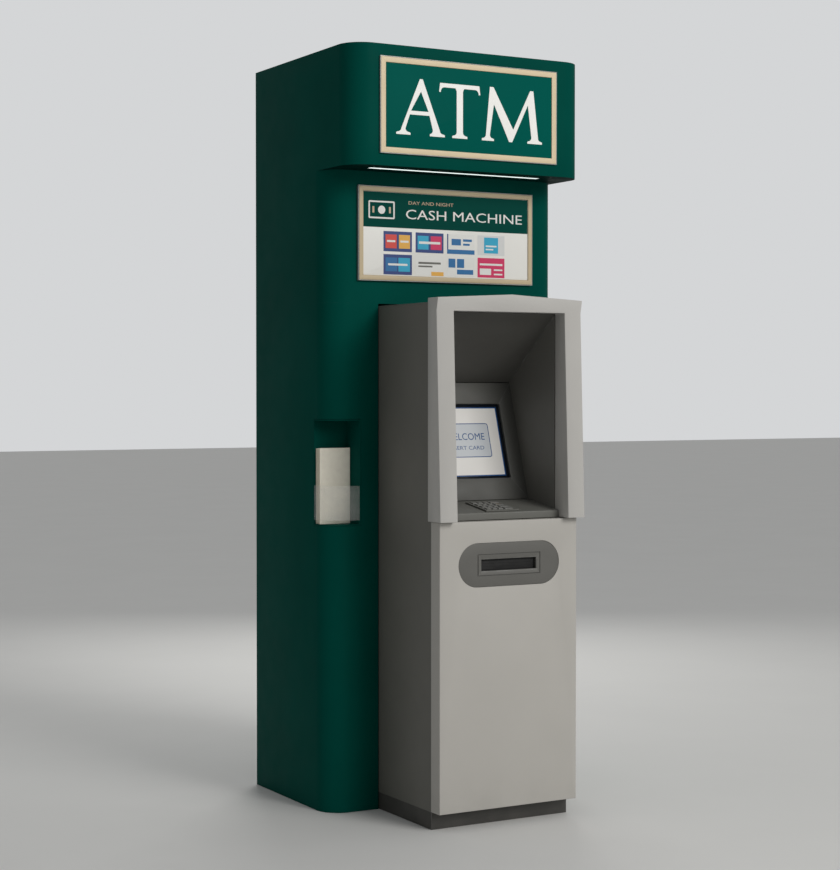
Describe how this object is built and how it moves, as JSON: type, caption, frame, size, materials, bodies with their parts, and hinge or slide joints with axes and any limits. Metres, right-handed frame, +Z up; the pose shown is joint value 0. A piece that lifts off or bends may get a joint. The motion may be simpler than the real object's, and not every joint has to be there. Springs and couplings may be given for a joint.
{
  "type": "atm machine",
  "caption": "Grey lobby cash machine with hooded screen and keypad, standing in a green surround tower with a lit sign canopy and an envelope niche.",
  "frame": {"origin": "on the floor at the centre of the footprint box", "axes": "+Z up, the customer stands at -Y, +X to the right as the customer sees it"},
  "size_m": [0.766, 0.836, 2.134],
  "materials": {
    "green_laminate": "satin laminate",
    "green_sign_face": "satin print",
    "tan_frame": "satin",
    "white_panel": "satin print",
    "opal_lens": "lit opal",
    "clear_acrylic": "clear",
    "envelope_paper": "plain",
    "dark_grey_paint": "fine texture",
    "light_grey_paint": "satin",
    "light_grey_moulding": "satin",
    "recess_grey": "fine texture",
    "bezel_grey": "fine texture",
    "key_grey": "satin",
    "plain_steel": "brushed",
    "module_grey": "plain",
    "display_glass": "glossy"
  },
  "bodies": {
    "surround_and_cabinet": {"side_panel_left": "green_laminate", "side_panel_right": "green_laminate", "corner_left_lower": "green_laminate", "corner_left_upper": "green_laminate", "jamb_left": "green_laminate", "corner_right": "green_laminate", "header_panel": "green_laminate", "canopy_side_left": "green_laminate", "canopy_side_right": "green_laminate", "canopy_front": "green_laminate", "canopy_soffit": "green_laminate", "canopy_top": "green_laminate", "niche_liner": "green_laminate", "rear_panel": "green_laminate", "downlight_lens": "opal_lens", "envelope_retainer": "clear_acrylic", "info_frame": "tan_frame", "info_panel": "white_panel", "plinth": "bezel_grey", "cabinet_side_left": "dark_grey_paint", "cabinet_side_right": "dark_grey_paint", "cabinet_top": "dark_grey_paint", "cabinet_back": "dark_grey_paint", "safe_shell": "plain_steel", "note_dispenser": "module_grey", "cash_cassette": "module_grey", "control_unit": "module_grey"},
    "rear_door": {"rear_door": "green_laminate"},
    "sign_door": {"sign_frame": "tan_frame", "sign_face": "green_sign_face"},
    "envelopes": {"envelope_stack": "envelope_paper"},
    "fascia": {"hood_frame": "light_grey_moulding", "recess_liner": "recess_grey", "screen_bezel": "recess_grey", "display": "display_glass", "card_reader": "recess_grey", "key_shelf": "recess_grey", "keypad_plate": "recess_grey"},
    "lower_door": {"lower_door": "light_grey_paint", "dispenser_bezel": "bezel_grey"},
    "shutter": {"cash_shutter": "plain_steel"},
    "lock_cylinder": {"lock_cylinder": "plain_steel"},
    "lock_bolt": {"lock_bolt": "plain_steel"},
    "key_1": {"key_1": "key_grey"},
    "key_2": {"key_2": "key_grey"},
    "key_3": {"key_3": "key_grey"},
    "key_cancel": {"key_cancel": "key_grey"},
    "key_4": {"key_4": "key_grey"},
    "key_5": {"key_5": "key_grey"},
    "key_6": {"key_6": "key_grey"},
    "key_clear": {"key_clear": "key_grey"},
    "key_7": {"key_7": "key_grey"},
    "key_8": {"key_8": "key_grey"},
    "key_9": {"key_9": "key_grey"},
    "key_enter": {"key_enter": "key_grey"},
    "key_star": {"key_star": "key_grey"},
    "key_0": {"key_0": "key_grey"},
    "key_hash": {"key_hash": "key_grey"},
    "key_blank": {"key_blank": "key_grey"}
  },
  "joints": [
    {"name": "rear_door_hinge", "type": "hinge", "parent": "surround_and_cabinet", "child": "rear_door", "pos_m": [-0.3638, 0.418, 0.6], "axis": [0, 0, 1], "range_deg": [0, 100]},
    {"name": "sign_door_hinge", "type": "hinge", "parent": "surround_and_cabinet", "child": "sign_door", "pos_m": [0, -0.1946, 2.1008], "axis": [-1, 0, 0], "range_deg": [0, 80]},
    {"name": "envelope_lift", "type": "slide", "parent": "surround_and_cabinet", "child": "envelopes", "axis": [0, 0, 1], "range_m": [0, 0.07]},
    {"name": "fascia_hinge", "type": "hinge", "parent": "surround_and_cabinet", "child": "fascia", "pos_m": [0, -0.349, 1.43], "axis": [-1, 0, 0], "range_deg": [0, 60]},
    {"name": "lower_door_hinge", "type": "hinge", "parent": "surround_and_cabinet", "child": "lower_door", "pos_m": [-0.2205, -0.349, 0.45], "axis": [0, 0, -1], "range_deg": [0, 105]},
    {"name": "shutter_slide", "type": "slide", "parent": "lower_door", "child": "shutter", "axis": [0, 0, 1], "range_m": [0, 0.038]},
    {"name": "lock_turn", "type": "hinge", "parent": "lower_door", "child": "lock_cylinder", "pos_m": [0.2205, -0.37, 0.45], "axis": [1, 0, 0], "range_deg": [0, 90]},
    {"name": "lock_throw", "type": "slide", "parent": "lower_door", "child": "lock_bolt", "axis": [0, 1, 0], "range_m": [0, 0.014]},
    {"name": "key_1_press", "type": "slide", "parent": "fascia", "child": "key_1", "axis": [0, 0.1474, -0.9891], "range_m": [0, 0.0015], "stiffness_N_per_m": 400},
    {"name": "key_2_press", "type": "slide", "parent": "fascia", "child": "key_2", "axis": [0, 0.1474, -0.9891], "range_m": [0, 0.0015], "stiffness_N_per_m": 400},
    {"name": "key_3_press", "type": "slide", "parent": "fascia", "child": "key_3", "axis": [0, 0.1474, -0.9891], "range_m": [0, 0.0015], "stiffness_N_per_m": 400},
    {"name": "key_cancel_press", "type": "slide", "parent": "fascia", "child": "key_cancel", "axis": [0, 0.1474, -0.9891], "range_m": [0, 0.0015], "stiffness_N_per_m": 400},
    {"name": "key_4_press", "type": "slide", "parent": "fascia", "child": "key_4", "axis": [0, 0.1474, -0.9891], "range_m": [0, 0.0015], "stiffness_N_per_m": 400},
    {"name": "key_5_press", "type": "slide", "parent": "fascia", "child": "key_5", "axis": [0, 0.1474, -0.9891], "range_m": [0, 0.0015], "stiffness_N_per_m": 400},
    {"name": "key_6_press", "type": "slide", "parent": "fascia", "child": "key_6", "axis": [0, 0.1474, -0.9891], "range_m": [0, 0.0015], "stiffness_N_per_m": 400},
    {"name": "key_clear_press", "type": "slide", "parent": "fascia", "child": "key_clear", "axis": [0, 0.1474, -0.9891], "range_m": [0, 0.0015], "stiffness_N_per_m": 400},
    {"name": "key_7_press", "type": "slide", "parent": "fascia", "child": "key_7", "axis": [0, 0.1474, -0.9891], "range_m": [0, 0.0015], "stiffness_N_per_m": 400},
    {"name": "key_8_press", "type": "slide", "parent": "fascia", "child": "key_8", "axis": [0, 0.1474, -0.9891], "range_m": [0, 0.0015], "stiffness_N_per_m": 400},
    {"name": "key_9_press", "type": "slide", "parent": "fascia", "child": "key_9", "axis": [0, 0.1474, -0.9891], "range_m": [0, 0.0015], "stiffness_N_per_m": 400},
    {"name": "key_enter_press", "type": "slide", "parent": "fascia", "child": "key_enter", "axis": [0, 0.1474, -0.9891], "range_m": [0, 0.0015], "stiffness_N_per_m": 400},
    {"name": "key_star_press", "type": "slide", "parent": "fascia", "child": "key_star", "axis": [0, 0.1474, -0.9891], "range_m": [0, 0.0015], "stiffness_N_per_m": 400},
    {"name": "key_0_press", "type": "slide", "parent": "fascia", "child": "key_0", "axis": [0, 0.1474, -0.9891], "range_m": [0, 0.0015], "stiffness_N_per_m": 400},
    {"name": "key_hash_press", "type": "slide", "parent": "fascia", "child": "key_hash", "axis": [0, 0.1474, -0.9891], "range_m": [0, 0.0015], "stiffness_N_per_m": 400},
    {"name": "key_blank_press", "type": "slide", "parent": "fascia", "child": "key_blank", "axis": [0, 0.1474, -0.9891], "range_m": [0, 0.0015], "stiffness_N_per_m": 400}
  ],
  "couplings": [
    {"joint": "lock_turn", "follows": "lock_throw", "rad_per_m": 112.19}
  ]
}
